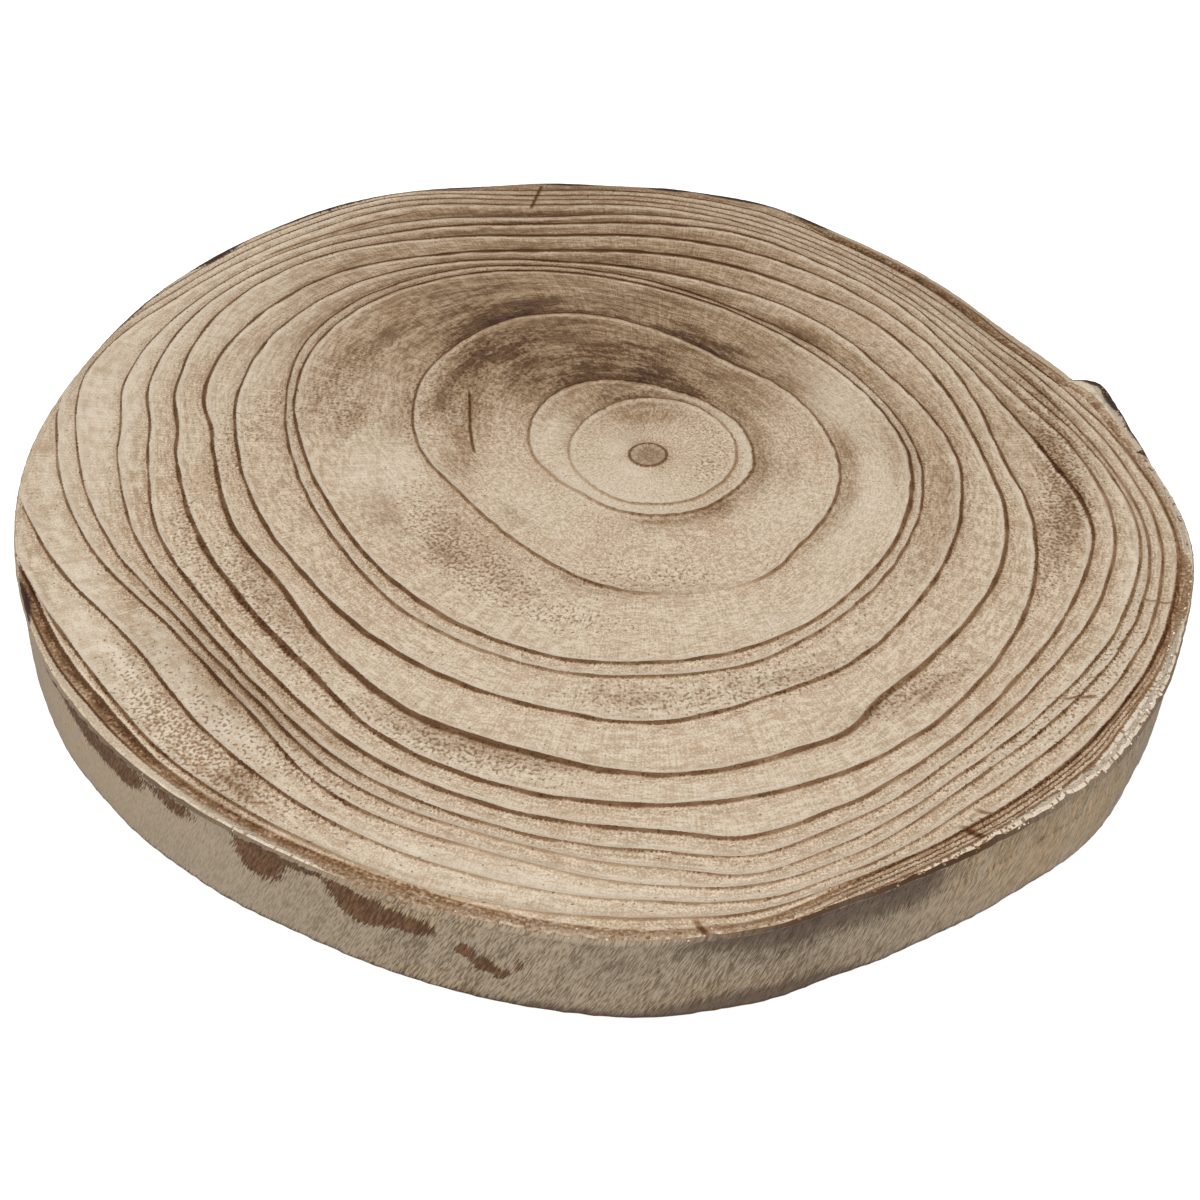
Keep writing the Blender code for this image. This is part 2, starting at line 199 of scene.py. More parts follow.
# The band beside the bark: direction; how far inside the rim its outer and inner edges run, in mm; how dark it is,
# how dark the lines along the two edges are, how clear its fine lines are, and how pale the wood outside it is
RIM_BANDS = (
    (195, 0.2, 0.6, 0, 0, 0, 0, 0.1), (200, 1.0, 3.2, 1.1, 0.6, 1, 0, 0.1), (205, 1.6, 4.4, 1.2, 1, 1.1, 0, 0.15),
    (210, 2.0, 5.1, 1.1, 1.1, 1.1, 0, 0.2), (216, 2.7, 5.8, 1.35, 1.1, 1.2, 0, 0.2), (221, 2.5, 5.3, 1.45, 1, 1.2, 0, 0.25),
    (225, 2.3, 4.4, 1.05, 0.6, 0.9, 0, 0.5), (230, 1.9, 4.1, 0.85, 0.3, 0.4, 0, 0.6), (236, 1.6, 3.9, 0.95, 0.2, 0.2, 0, 0.8),
    (242, 1.2, 3.8, 0.9, 0.1, 0.1, 0, 0.8), (245, 0.1, 4.1, 0.95, 0, 0.1, 0, 0.3), (251, -1, 4.1, 0.92, 0, 0.05, 0, 0),
    (257, -1, 3.6, 0.72, 0, 0, 0, 0), (263, -1, 3.4, 0.62, 0, 0, 0, 0), (270, -1, 3.0, 0.56, 0, 0.1, 0, 0),
    (276, -0.4, 2.1, 0.4, 0.3, 0.4, 0.4, 0), (281, -0.6, 3.2, 0.35, 0.5, 0.6, 0.6, 0), (286, 0.2, 4.2, 0.3, 0.4, 0.3, 1, 0.6),
    (290, 1.2, 4.9, 0.3, 0.5, 0.3, 1, 1), (295, 1.9, 5.5, 0.4, 0.6, 0.3, 1, 1), (300, 2.4, 5.8, 0.35, 0.6, 0.3, 1, 1),
    (305, 3.0, 6.6, 0.35, 0.7, 0.3, 1, 1), (310, 3.5, 7.4, 0.35, 0.7, 0.3, 1, 1), (315, 4.2, 7.6, 0.35, 0.7, 0.3, 0.9, 1),
    (320, 3.8, 6.6, 0.4, 0.6, 0.3, 0.8, 1), (325, 3.0, 5.6, 0.55, 0.5, 0.3, 0.7, 1), (330, 2.0, 4.6, 0.75, 0.3, 0.2, 0.4, 0.8),
    (334, 0.5, 4.4, 1.05, 0, 0.2, 0, 0.2), (341, 0.5, 4.4, 1.0, 0, 0.2, 0, 0.1), (344, 2.4, 4.4, 0.55, 0, 0, 0, 0.7),
    (350, 2.0, 4.5, 0.5, 0, 0, 0, 0.7), (0, 1.9, 4.6, 0.5, 0.1, 0, 0, 0.5), (6, 3.0, 5.6, 0.65, 0.1, 0, 0, 0.6), (11, 4.2, 7.2, 0.65, 0.3, 0, 0, 0.7),
    (15.4, 6.6, 9.8, 0.7, 0.4, 0, 0, 0.6),
    (16.4, 2.4, 6.4, 0.8, 0.5, 0, 0, 0.2), (22, 2.7, 6.3, 0.8, 0.7, 0.1, 0, 0.2), (28, 2.7, 5.9, 0.75, 0.8, 0.1, 0, 0.25),
    (34, 1.9, 5.6, 0.75, 0.8, 0.1, 0, 0.25), (40, 2.0, 5.4, 0.8, 0.3, 0.1, 0, 0.2), (46, 2.0, 5.3, 1.15, 0.3, 0.1, 0, 0.15),
    (56, 2.0, 5.3, 1.3, 0.3, 0, 0, 0.15), (62, 1.9, 5.3, 1.0, 0.3, 0, 0, 0.1), (66, 1.0, 3.6, 0.9, 0.2, 0, 0, 0),
    (70, 0, 2, 0.6, 0, 0, 0, 0), (75, -0.5, 0.8, 0.2, 0, 0, 0, 0), (90, -1, 0, 0, 0, 0, 0, 0),
)

# The scorched bark that is left along the rim: direction, half width in degrees, how far in from the rim in mm
DARK_RIMS = (
    (77, 12, 2.6), (86, 6, 2.8), (66, 7, 2.4), (99, 8, 2.4), (112, 9, 2.0), (127, 13, 2.8), (142, 7, 3.0), (155, 14, 1.5),
    (11.5, 7, 2.8), (5, 7, 1.5), (0.5, 1, 3.0), (15, 2.4, 3.4), (201, 5, 2.4),
)

# The dark line just under the rim, painted shade of the undercut: direction, half width in degrees, strength
UNDERCUT_SHADES = ((227, 26, 0.75), (292, 24, 1.1), (320, 26, 0.55), (281, 14, 1.0), (345, 14, 0.5), (7, 12, 1.2), (90, 60, 0.8))

# Partial rings, drawn in colour only: direction and radius of their points
ARCS = (
    (((147, 59), (150, 56.5), (156, 53), (162, 50.5), (170, 48), (176.5, 46.5), (180, 45.5)), 0.55, 0.75),
    (((118, 148), (124, 150.5), (132, 153), (140, 155.5)), 0.5, 0.6),
)

# Splintered stretches of the rim: from, to in degrees, crumbs, farthest inside the rim in mm, darkest, lightest tone
CRUMBS = (
    (300, 331, 110, 2.8, 0.1, 0.75), (262, 300, 90, 2.0, 0.0, 0.36), (243, 262, 60, 1.6, 0.0, 0.35),
    (331, 350, 40, 1.6, 0.0, 0.5), (345, 376, 60, 1.6, 0.0, 0.4), (90, 243, 160, 0.7, 0.0, 0.4),
)

# Scratches on the cut face: direction and radius of both ends, width in mm, strength
SCRATCHES = (
    ((102.2, 151), (104.8, 137), 0.7, 0.75),
    ((315.3, 128.6), (317.8, 133.6), 0.55, 0.65),
    ((272.3, 152), (273.0, 155.5), 0.8, 0.7),
    ((296.0, 142.5), (297.2, 147.5), 0.9, 0.8),
    ((298.4, 140.2), (299.2, 143.0), 0.7, 0.6),
    ((334.0, 130.5), (334.8, 138.5), 0.5, 0.5),
    ((359.2, 131.0), (0.6, 133.0), 0.8, 0.9),
)

# What is left of the inner bark on the wall: direction, drop in mm, half widths in degrees and mm, strength
INNER_BARK = (
    (219, 3, 6.5, 6, 1.0), (222.5, 5, 2.2, 4.4, 0.95), (213, 1.5, 4, 3.5, 0.8), (228.5, 3, 3, 4.6, 0.78),
    (237.5, 4.5, 2.6, 7, 1.05), (240.5, 1.4, 4, 3, 0.95), (247, 7.5, 2.8, 4.2, 1.0), (250.6, 7, 2.4, 2.6, 0.95),
    (245, 4, 1.6, 3, 0.8), (255.3, 10.3, 1.0, 2.3, 0.95), (256.6, 13, 1.0, 2.1, 1.0), (257.9, 14.8, 1.0, 1.8, 0.95),
    (259.4, 11.5, 0.6, 2.4, 0.72), (7, 8, 9, 14, 1.3),
)
WALL_SMOKE = (
    (274, 3, 4, 4.5, 0.7), (280, 4, 6, 5.5, 0.9), (287, 5, 6, 6, 0.85), (291, 6, 3.5, 6, 0.75), (266, 8, 3, 7, 0.42),
    (208, 12, 16, 14, 0.1), (245, 12, 22, 13, 0.1), (250, 24.5, 12, 2, 0.4), (263, 24.5, 12, 3.4, 0.8),
    (277, 24, 10, 6, 0.95), (293, 24.5, 12, 1.8, 0.5), (303, 6, 3, 6, 0.4), (309, 4, 2, 3, 0.35),
)
# How dark the strokes of the fibres are round the wall: direction, strength
WALL_STROKES = ((180, 0.2), (215, 0.25), (238, 0.5), (250, 1), (290, 1), (305, 0.75), (345, 0.7), (360, 0.5))
WALL_WARM = (
    (306, 10, 12, 14, 1.0), (276, 21, 9, 5, 0.8), (216, 12, 9, 9, 0.5), (297, 3, 4, 5, 0.6),
    (255, 22, 8, 3, 0.5), (229, 7, 4, 6, 0.4), (249, 2, 8, 3.5, 0.9),
)


# Colours, linear
EARLY_WOOD = (0.447, 0.371, 0.277, 1)
EARLY_DARK = (0.245, 0.172, 0.106, 1)
EARLY_BROWN = (0.265, 0.17, 0.098, 1)
BLEACHED = (0.475, 0.42, 0.348, 1)
LATE_WOOD = (0.088, 0.04, 0.017, 1)
BARK_RED = (0.106, 0.057, 0.03, 1)
BARK_DEEP = (0.045, 0.023, 0.012, 1)
SPLINTER = (0.56, 0.50, 0.42, 1)
BARK_BROWN = (0.15, 0.078, 0.038, 1)
BARK_DARK = (0.028, 0.014, 0.009, 1)
WALL_TAN = (0.224, 0.18, 0.13, 1)
WALL_GREY = (0.092, 0.066, 0.042, 1)
WALL_SMOKED = (0.055, 0.037, 0.027, 1)
WALL_WARM_BROWN = (0.29, 0.208, 0.124, 1)

# How scorching darkens the wood below it: strength, and the share of each colour that is left
SCORCHING = ((0, (1, 1, 1, 1)), (0.3, (0.6, 0.52, 0.44, 1)), (0.6, (0.27, 0.2, 0.15, 1)), (1, (0.13, 0.09, 0.08, 1)))

# How the late wood and the bark darken the wood: strength, and the share of each colour that is left
LATE_TINT = ((0, (1, 1, 1, 1)), (0.35, (0.66, 0.55, 0.45, 1)), (0.7, (0.34, 0.235, 0.16, 1)), (1, (0.19, 0.112, 0.065, 1)))
BARK_TINT = ((0, (1, 1, 1, 1)), (0.5, (0.5, 0.37, 0.27, 1)), (1, (0.2, 0.125, 0.08, 1)))


def between(radii, angle):
    """The radius of a closed outline at each angle, on a smooth curve through its given radii, in metres."""
    radii = np.array(radii) * MM
    place = angle / (2 * pi) * DIRECTIONS
    first = np.floor(place).astype(int)
    share = place - first
    before, start, end, after = (radii[(first + k) % DIRECTIONS] for k in (-1, 0, 1, 2))
    square, cube = share**2, share**3
    return (
        (2 * cube - 3 * square + 1) * start
        + (cube - 2 * square + share) * (end - before) / 2
        + (3 * square - 2 * cube) * end
        + (cube - square) * (after - start) / 2
    )


def between_rows(rows, angle):
    """A value read off rows of direction and value."""
    directions, values = np.array(rows).T
    return np.interp(np.degrees(angle), directions, values, period=360)


def turn_away(angle, middle):
    """How many degrees each angle lies from a direction, from -180 to 180."""
    return (np.degrees(angle) - middle + 180) % 360 - 180


def hump(angle, middle, half_width):
    """A smooth swelling from 0 to 1 and back round a direction."""
    away = np.minimum(np.abs(turn_away(angle, middle)) / half_width, 1)
    return np.cos(away * pi / 2) ** 2


def ripple(angle, least, most, seed):
    """A seeded sum of waves round the slice, within -1.2 and 1.2."""
    random = np.random.default_rng(seed)
    total = 0
    for count, phase in zip(random.integers(least, most, 20), random.uniform(0, 2 * pi, 20)):
        total = total + np.sin(count * angle + phase)
    return np.clip(total / 5, -1.2, 1.2)


def year_line(year, angle):
    radius = between(YEARS[year], angle)
    for first, last, middle, half_width, outwards in KINKS:
        if first <= year <= last:
            radius = radius + outwards * MM * hump(angle, middle, half_width)
    return radius + 0.12 * MM * ripple(angle, 12, 60, 100 + year)


def chipping(angle):
    """How much the rim is chipped, from 0 to 1."""
    return 0.25 + 0.75 * np.maximum(hump(angle, 305, 40), hump(angle, 262, 26))


def outline(angle):
    """The smooth outline of the cut face, with the flap of bark on it."""
    radius = between(RIM, angle) + between_rows(FLAP, angle) * MM
    for middle, half_width, outwards in RIM_SWELLINGS:
        radius = radius + outwards * MM * hump(angle, middle, half_width)
    return radius


def chips(angle):
    """How deep the rim is chipped, in metres."""
    nicks = np.clip(ripple(angle, 90, 300, 7) - 0.25, 0, 1) * 0.8
    return chipping(angle) * (nicks + 0.2 * (1 + ripple(angle, 20, 160, 8))) * MM


def rim_line(angle):
    """The outline of the cut face with its chips."""
    return outline(angle) - chips(angle)


def face_loops():
    """The loops of the cut face from the pith outwards: functions of angle for radius and height."""
    loops = []
    for share in PITH_LOOPS:
        height = RIDGE_HEIGHT * (1 if share == 1 else 0.4 if share > 0.8 and share < 1 else 0)
        loops.append((lambda a, s=share: s * PITH_RADIUS + 0 * a, lambda a, h=height: h + 0 * a))

    inner_line = lambda a: PITH_RADIUS + 0 * a
    for interval, count in enumerate(EARLY_LOOPS):
        if interval < len(YEARS):
            outer_line = lambda a, year=interval: year_line(year, a)
        else:
            outer_line = lambda a: rim_line(a) - RIM_BEVEL[0]

        def foot(a, inner=inner_line, outer=outer_line):
            return inner(a) + np.minimum(RIDGE_OUTER, 0.25 * np.maximum(outer(a) - inner(a), 0))

        def slope(a, inner=inner_line, outer=outer_line):
            return outer(a) - np.minimum(RIDGE_INNER, 0.5 * np.maximum(outer(a) - inner(a), 0))

        def shoulder(a, slope=slope, outer=outer_line):
            return 0.55 * outer(a) + 0.45 * slope(a)

        for k in range(count):
            share = (k + 0.5) / count
            def early(a, foot=foot, slope=slope, share=share):
                return foot(a) + share * (slope(a) - foot(a))
            loops.append((early, lambda a, s=share: -0.12 * MM * 4 * s * (1 - s) + 0 * a))
        if interval < len(YEARS):
            loops.append((slope, lambda a: 0 * a))
            loops.append((shoulder, lambda a: 0.68 * RIDGE_HEIGHT + 0 * a))
            loops.append((outer_line, lambda a: RIDGE_HEIGHT + 0 * a))
            nexts = interval + 1

            def outer_foot(a, line=outer_line, nexts=nexts):
                beyond = year_line(nexts, a) if nexts < len(YEARS) else rim_line(a) - RIM_BEVEL[0]
                return line(a) + np.minimum(RIDGE_OUTER, 0.25 * np.maximum(beyond - line(a), 0))
            loops.append((outer_foot, lambda a: 0 * a))
        inner_line = outer_line
    return loops


def loops_by_zone(loops):
    """How many loops come before each doubling of the sectors, counted as face_loops makes them."""
    counts = [len(PITH_LOOPS)]
    for interval, early in enumerate(EARLY_LOOPS):
        counts[-1] += early + (4 if interval < len(YEARS) else 0)
        if interval in SPLITS:
            counts.append(0)
    return counts


def place_face(angle, place, loops):
    """Radius and height of the cut face's vertices, each on its own loop and in its own direction."""
    radius = np.zeros(len(angle))
    height = np.zeros(len(angle))
    for number, (loop_radius, loop_height) in enumerate(loops):
        on_loop = place == number
        a = angle[on_loop]
        room = RIM_BEVEL[0] + LEAST_STEP * (len(loops) - number)
        free = loop_radius(a)
        held = rim_line(a) - room
        radius[on_loop] = np.minimum(free, held)
        height[on_loop] = np.where(free > held, 0, loop_height(a))
    return radius, height


def wall_radius(angle, drop):
    """Radius of the stripped wall at a drop below the cut face, with its soft fluting and what is left of bark."""
    profile = np.array(WALL_PROFILE) * MM
    share = drop / THICKNESS
    inwards = np.interp(drop, profile[:, 0], profile[:, 1])
    deeper = 1 + 0.9 * hump(angle, 300, 36) * (share < 0.4)
    lean = np.clip(share, 0, 1) * LEAN * np.cos(angle - LEAN_DIRECTION)
    slanted = angle - 0.035 * share
    below_rim = np.clip(share / 0.08, 0, 1)
    fluting = 0.05 * ripple(slanted, 60, 200, 21) + 0.16 * ripple(slanted, 8, 40, 22)
    teeth = 0.08 * ripple(angle, 120, 310, 23) * np.clip((share - 0.93) / 0.05, 0, 1)
    skin = 0.4 * np.clip(3 * clouds(INNER_BARK, angle, drop, MM) - 1.1, 0, 1)
    rim = outline(angle) - chips(angle) * np.clip(1 - drop / (1.6 * MM), 0, 1)
    return rim - inwards * deeper + lean + (fluting + teeth + skin) * MM * below_rim


def place_wall(angle, place):
    """Radius and height of the wall's vertices, from the rim down."""
    drop = np.array(WALL_PROFILE)[place, 0] * MM
    share = drop / THICKNESS
    ragged = 0.3 * MM * ripple(angle, 60, 300, 24) * chipping(angle) * (share > 0.01) * (share < 0.06)
    return wall_radius(angle, drop), THICKNESS - drop + ragged


def model_blank(zones):
    """A flat disc of rings one millimetre apart, closed at the back. It is pressed to the slice afterwards."""
    bpy.ops.object.select_all(action="DESELECT")
    bpy.ops.mesh.primitive_circle_add(vertices=CORE_SECTORS, radius=MM, fill_type="TRIFAN")
    blank = bpy.context.object
    bpy.ops.object.mode_set(mode="EDIT")
    bpy.ops.mesh.select_mode(type="EDGE")
    outermost = 1
    for count, divided in zones:
        bpy.ops.mesh.select_all(action="SELECT")
        bpy.ops.mesh.region_to_loop()
        if divided:
            bpy.ops.mesh.subdivide(number_cuts=1)
        bpy.ops.mesh.extrude_region()
        wider = (outermost + count) / outermost
        bpy.ops.transform.resize(value=(wider, wider, 1), center_override=(0, 0, 0))
        if count > 1:
            select_spokes(blank, (outermost + 0.5) * MM)
            bpy.ops.mesh.subdivide(number_cuts=count - 1)
        outermost += count
    bpy.ops.mesh.select_all(action="SELECT")
    bpy.ops.mesh.region_to_loop()
    bpy.ops.transform.translate(value=(0, 0, -MM))
    bpy.ops.mesh.edge_face_add()
    bpy.ops.mesh.select_mode(type="FACE")
    bpy.ops.mesh.poke()
    bpy.ops.object.mode_set(mode="OBJECT")
    return blank


def select_spokes(blank, beyond):
    """Selects the edges that cross the outermost ring of faces."""
    mesh = bmesh.from_edit_mesh(blank.data)
    for edge in mesh.edges:
        near, far = sorted(vertex.co.xy.length for vertex in edge.verts)
        edge.select = far > beyond and far - near > 0.3 * MM
    mesh.select_flush_mode()
    bmesh.update_edit_mesh(blank.data)


def clouds(patches, angle, across, unit):
    """Several soft patches laid over each other, at each vertex. across is a radius or a drop."""
    total = np.zeros(len(angle))
    for middle, at, half_turn, half_across, strength in patches:
        away = turn_away(angle, middle) / half_turn
        off = (across - at * unit) / (half_across * unit)
        total = total + (strength * np.exp(-0.8 * np.hypot(away, off) ** 3)) ** 3
    return np.cbrt(total)


def keep(mesh, name, values):
    """Stores one number or one vector for each vertex."""
    kind = "FLOAT_VECTOR" if values.ndim > 1 else "FLOAT"
    attribute = mesh.attributes.new(name, kind, "POINT")
    attribute.data.foreach_set("vector" if values.ndim > 1 else "value", values.astype(np.float32).ravel())


def record_face(mesh, angle, radius, drop):
    """Works out what each vertex knows about the wood: lines, clouds, bands and marks."""
    inside = np.full(len(angle), 8 * MM)
    outside = np.full(len(angle), 8 * MM)
    nearest = np.full(len(angle), 1.0)
    ink = np.zeros(len(angle))
    reach_in = np.zeros(len(angle))
    reach_out = np.zeros(len(angle))
    for year, (dark, inwards, outwards) in enumerate((PITH_LINE,) + LINES, -1):
        past = radius - (year_line(year, angle) if year >= 0 else PITH_RADIUS)
        on_line = np.abs(past) < 0.002 * MM
        inside = np.where((past <= 0) | on_line, np.minimum(inside, np.maximum(-past, 0)), inside)
        outside = np.where((past >= 0) | on_line, np.minimum(outside, np.maximum(past, 0)), outside)
        here = np.abs(past) < nearest
        nearest = np.minimum(nearest, np.abs(past))
        strength = np.full(len(angle), dark)
        wider = 1 + 0.2 * ripple(angle, 10, 70, 200 + year)
        for first, last, middle, half_width, added_ink, added_reach in LINE_CHANGES:
            if first <= year <= last:
                strength = strength + added_ink * hump(angle, middle, half_width)
                wider = wider + added_reach * hump(angle, middle, half_width)
        strength = strength * (1 + 0.16 * ripple(angle, 20, 90, 300 + year))
        ink[here] = strength[here]
        reach_in[here] = (inwards * wider)[here]
        reach_out[here] = (outwards * wider)[here]
    inside, outside = inside / MM, outside / MM
    keep(mesh, "inside", inside)
    keep(mesh, "outside", outside)
    keep(mesh, "ink", ink)
    keep(mesh, "reach_in", reach_in)
    keep(mesh, "reach_out", reach_out)

    on_wall = drop > 0.8 * MM
    depth = (outline(angle) - radius) / MM
    keep(mesh, "edge", (rim_line(angle) - radius) / MM)
    rows = np.array(RIM_BANDS)
    columns = [np.interp(np.degrees(angle), rows[:, 0], column, period=360) for column in rows[:, 1:].T]
    keep(mesh, "band_outer", depth - columns[0])
    keep(mesh, "band_inner", columns[1] - depth)
    for name, column in zip(("band_ink", "outer_ink", "inner_ink", "stripes", "cream"), columns[2:]):
        keep(mesh, name, np.where(on_wall, 0, column))
    dark_rim = np.zeros(len(angle))
    for middle, half_width, reach in DARK_RIMS:
        dark_rim = np.maximum(dark_rim, reach * hump(angle, middle, half_width))
    keep(mesh, "dark_rim", dark_rim)
    # Painted shade: how dark the line under the rim is, where the undercut lies in shade
    undercut_shade = np.zeros(len(angle))
    for middle, half_width, strength in UNDERCUT_SHADES:
        undercut_shade = np.maximum(undercut_shade, strength * hump(angle, middle, half_width))
    keep(mesh, "undercut_shade", undercut_shade)

    beside_line = (0.8 + 0.4 * np.exp(-outside / 3)) * (1 - 0.5 * np.exp(-(((inside - 1.3) / 0.8) ** 2)))
    scorch = np.where(radius < 0.97 * PITH_RADIUS, 0.33, clouds(SCORCH, angle, radius, MM) * beside_line)
    keep(mesh, "scorch", np.where(on_wall, clouds(WALL_SMOKE, angle, drop, MM), scorch))
    keep(mesh, "stipple", np.where(on_wall, 0, clouds(STIPPLE, angle, radius, MM)))
    keep(mesh, "pale", np.where(on_wall, clouds(WALL_WARM, angle, drop, MM), clouds(PALE, angle, radius, MM)))
    keep(mesh, "inner_bark", np.where(on_wall, clouds(INNER_BARK, angle, drop, MM), 0))
    keep(mesh, "drop", drop / MM)
    keep(mesh, "strokes", between_rows(WALL_STROKES, angle))
    record_marks(mesh, angle, radius)


def record_marks(mesh, angle, radius):
    """How far each vertex is from the middle of the nearest partial ring or scratch, in its half widths."""
    mark = np.full(len(angle), 9.0)
    mark_ink = np.zeros(len(angle))
    place = np.stack((radius * np.cos(angle), radius * np.sin(angle)), axis=1) / MM
    marks = []
    for points, half_width, strength in ARCS:
        directions, radii = np.array(points).T
        middle = (directions[0] + directions[-1]) / 2
        away = turn_away(angle, middle)
        directions = directions - middle
        across = (radius / MM - np.interp(away, directions, radii)) / half_width
        marks.append((across, strength * np.clip((directions[-1] - np.abs(away)) / 3, 0, 1)))
    for start, end, half_width, strength in SCRATCHES:
        ends = [np.array((at * cos(radians(turn)), at * sin(radians(turn)))) for turn, at in (start, end)]
        length = np.linalg.norm(ends[1] - ends[0])
        along = (ends[1] - ends[0]) / length
        away = (place - ends[0]) @ along
        across = (place - ends[0]) @ np.array((-along[1], along[0])) / half_width
        marks.append((across, strength * np.clip(np.minimum(away, length - away) / 1.5 + 0.6, 0, 1)))
    for across, strength in marks:
        across = np.clip(across, -9, 9)
        nearer = (strength > 0) & (np.abs(across) <= np.abs(mark))
        mark = np.where(nearer, across, mark)
        mark_ink = np.where(nearer, strength * (np.abs(across) < 8.9), mark_ink)
    keep(mesh, "mark", mark)
    keep(mesh, "mark_ink", mark_ink)


def record_grain(mesh, angle, place, drop, loop_means, on_wall):
    """A coordinate that runs round the slice in x and y, and across the years or down the wall in z."""
    turned = angle + 0.003 * on_wall * (drop / MM)
    around = np.where(on_wall, 150 * MM, 90 * MM)
    across = np.where(on_wall, drop + 0.4, loop_means[place])
    keep(mesh, "grain", np.stack((around * np.cos(turned), around * np.sin(turned), across), axis=1))


class Wiring:
    """Adds nodes to one node tree. A value is a number, a colour, a vector or another node's output."""

    def __init__(self, tree):
        self.tree = tree

    def add(self, kind, values, **settings):
        made = self.tree.nodes.new(kind)
        for name, setting in settings.items():
            setattr(made, name, setting)
        for socket, value in values.items():
            self.feed(made.inputs[socket], value)
        return made

    def feed(self, socket, value):
        if isinstance(value, bpy.types.NodeSocket):
            self.tree.links.new(value, socket)
        else:
            socket.default_value = value

    def stored(self, name):
        return self.add("ShaderNodeAttribute", {}, attribute_name=name).outputs["Fac"]

    def stored_vector(self, name):
        return self.add("ShaderNodeAttribute", {}, attribute_name=name).outputs["Vector"]

    def place(self):
        return self.add("ShaderNodeTexCoord", {}).outputs["Object"]

    def math(self, operation, first, second=0.0, clamp=False):
        made = self.add("ShaderNodeMath", {0: first, 1: second}, operation=operation, use_clamp=clamp)
        return made.outputs[0]

    def times(self, first, second):
        return self.math("MULTIPLY", first, second)

    def plus(self, first, second):
        return self.math("ADD", first, second)

    def step(self, value, low, high, to_low=0.0, to_high=1.0):
        """A smooth step between two values."""
        made = self.add(
            "ShaderNodeMapRange",
            {0: value, 1: low, 2: high, 3: to_low, 4: to_high},
            interpolation_type="SMOOTHSTEP",
        )
        return made.outputs[0]

    def mix(self, share, first, second, blend="MIX"):
        made = self.add("ShaderNodeMix", {0: share, 6: first, 7: second}, data_type="RGBA", blend_type=blend)
        return made.outputs[2]

    def ramp(self, value, stops):
        """A colour or a grey read off a row of stops."""
        made = self.add("ShaderNodeValToRGB", {0: value})
        elements = made.color_ramp.elements
        elements[0].position, elements[1].position = stops[0][0], stops[-1][0]
        for position, colour in stops[1:-1]:
            elements.new(position)
        for number, (position, colour) in enumerate(stops):
            elements[number].color = colour if isinstance(colour, tuple) else (colour, colour, colour, 1)
        return made.outputs["Color"]

    def scaled(self, vector, scale):
        made = self.add("ShaderNodeVectorMath", {0: vector, 1: scale}, operation="MULTIPLY")
        return made.outputs[0]

    def noise(self, vector, scale, detail=2.0, roughness=0.5):
        made = self.add(
            "ShaderNodeTexNoise", {"Vector": vector, "Scale": scale, "Detail": detail, "Roughness": roughness}
        )
        return made.outputs["Fac"]

    def group(self, tree, values):
        made = self.tree.nodes.new("ShaderNodeGroup")
        made.node_tree = tree
        for socket, value in values.items():
            self.feed(made.inputs[socket], value)
        return made.outputs


def new_group(name, inputs, outputs):
    """An empty node group with named number or vector inputs and number outputs."""
    tree = bpy.data.node_groups.new(name, "ShaderNodeTree")
    for socket, kind in inputs.items():
        tree.interface.new_socket(name=socket, in_out="INPUT", socket_type=kind)
    for socket in outputs:
        tree.interface.new_socket(name=socket, in_out="OUTPUT", socket_type="NodeSocketFloat")
    wiring = Wiring(tree)
    source = tree.nodes.new("NodeGroupInput").outputs
    sink = tree.nodes.new("NodeGroupOutput").inputs
    return tree, wiring, source, sink


def dots_group():
    """Open pores: dark dots and the light wood between them, more of both where Amount is high."""
    number = "NodeSocketFloat"
    tree, wiring, source, sink = new_group("dots", {"Noise": number, "Amount": number}, ("Dark", "Light"))
    dark_from = wiring.math("SUBTRACT", 0.78, wiring.times(source["Amount"], 0.26))
    wiring.feed(sink["Dark"], wiring.step(wiring.math("SUBTRACT", source["Noise"], dark_from), 0.0, 0.07))
    light_to = wiring.plus(0.26, wiring.times(source["Amount"], 0.14))
    wiring.feed(sink["Light"], wiring.step(wiring.math("SUBTRACT", light_to, source["Noise"]), 0.0, 0.08))
    return tree


def ragged_patch_group():
    """A soft field cut to a patch whose edge frays along a noise."""
    number = "NodeSocketFloat"
    tree, wiring, source, sink = new_group(
        "ragged_patch", {"Field": number, "Fray": number, "Raggedness": number, "Softness": number}, ("Mask",)
    )
    pushed = wiring.times(wiring.math("SUBTRACT", source["Fray"], 0.5), source["Raggedness"])
    moved = wiring.plus(source["Field"], pushed)
    low = wiring.math("SUBTRACT", 0.5, source["Softness"])
    high = wiring.plus(0.5, source["Softness"])
    wiring.feed(sink["Mask"], wiring.step(moved, low, high))
    return tree


def new_material(name, roughness=0.8):
    material = bpy.data.materials.new(name)
    material.use_nodes = True
    shader = material.node_tree.nodes["Principled BSDF"]
    shader.inputs["Roughness"].default_value = roughness
    shader.inputs["Specular IOR Level"].default_value = 0.06
    return material, Wiring(material.node_tree), shader


